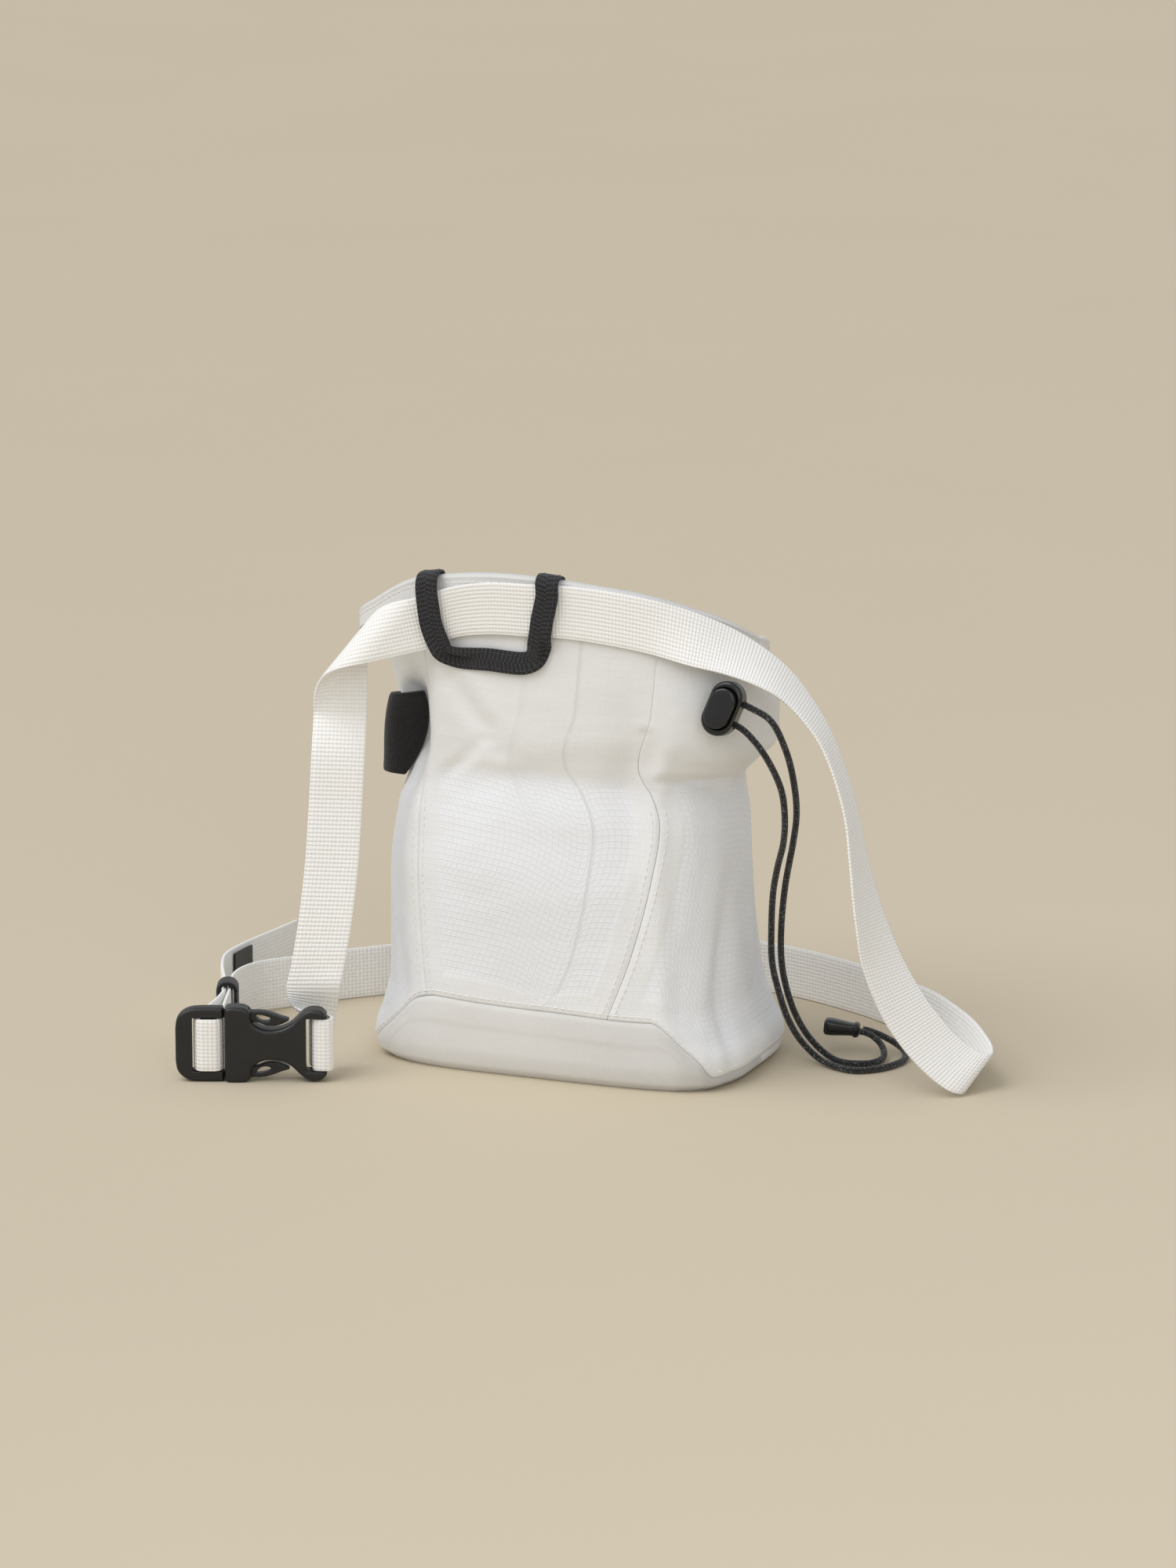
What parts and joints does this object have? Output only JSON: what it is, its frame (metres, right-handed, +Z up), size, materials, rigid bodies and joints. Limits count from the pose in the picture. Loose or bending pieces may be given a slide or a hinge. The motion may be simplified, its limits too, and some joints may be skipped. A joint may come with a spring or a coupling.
{
  "type": "climbing chalk bag",
  "caption": "Soft climbing chalk bag with a stiff rim, front panel, brush sleeve, drawcord with cord lock, and a buckled waist belt.",
  "frame": {"origin": "middle of the flat base, on the surface the bag stands on", "axes": "+Z up, +X to the right of someone facing the front, whose belt loop faces -Y"},
  "size_m": [0.3164, 0.2065, 0.1959],
  "materials": {
    "ripstop": "matte",
    "twill": "matte",
    "webbing": "matte",
    "tape": "matte",
    "elastic": "matte",
    "label": "satin",
    "buckle": "satin",
    "lock": "satin",
    "cord": "matte"
  },
  "bodies": {
    "bag": {"front_panel": "ripstop", "wrap_panel": "ripstop", "base_panel": "twill", "rim_band": "twill", "belt_loop": "tape", "brush_sleeve": "elastic", "belt": "webbing", "belt_label": "label", "belt_keeper": "elastic", "buckle_socket": "buckle", "buckle_plug": "buckle", "cord_lock_body": "lock", "drawcord_upper": "cord", "drawcord_lower": "cord", "cord_end": "lock"},
    "button": {"cord_lock_button": "lock"}
  },
  "joints": [
    {"name": "button_press", "type": "slide", "parent": "bag", "child": "button", "axis": [-0.0512, 0.9768, -0.2079], "range_m": [0, 0.002], "stiffness_N_per_m": 1500}
  ]
}
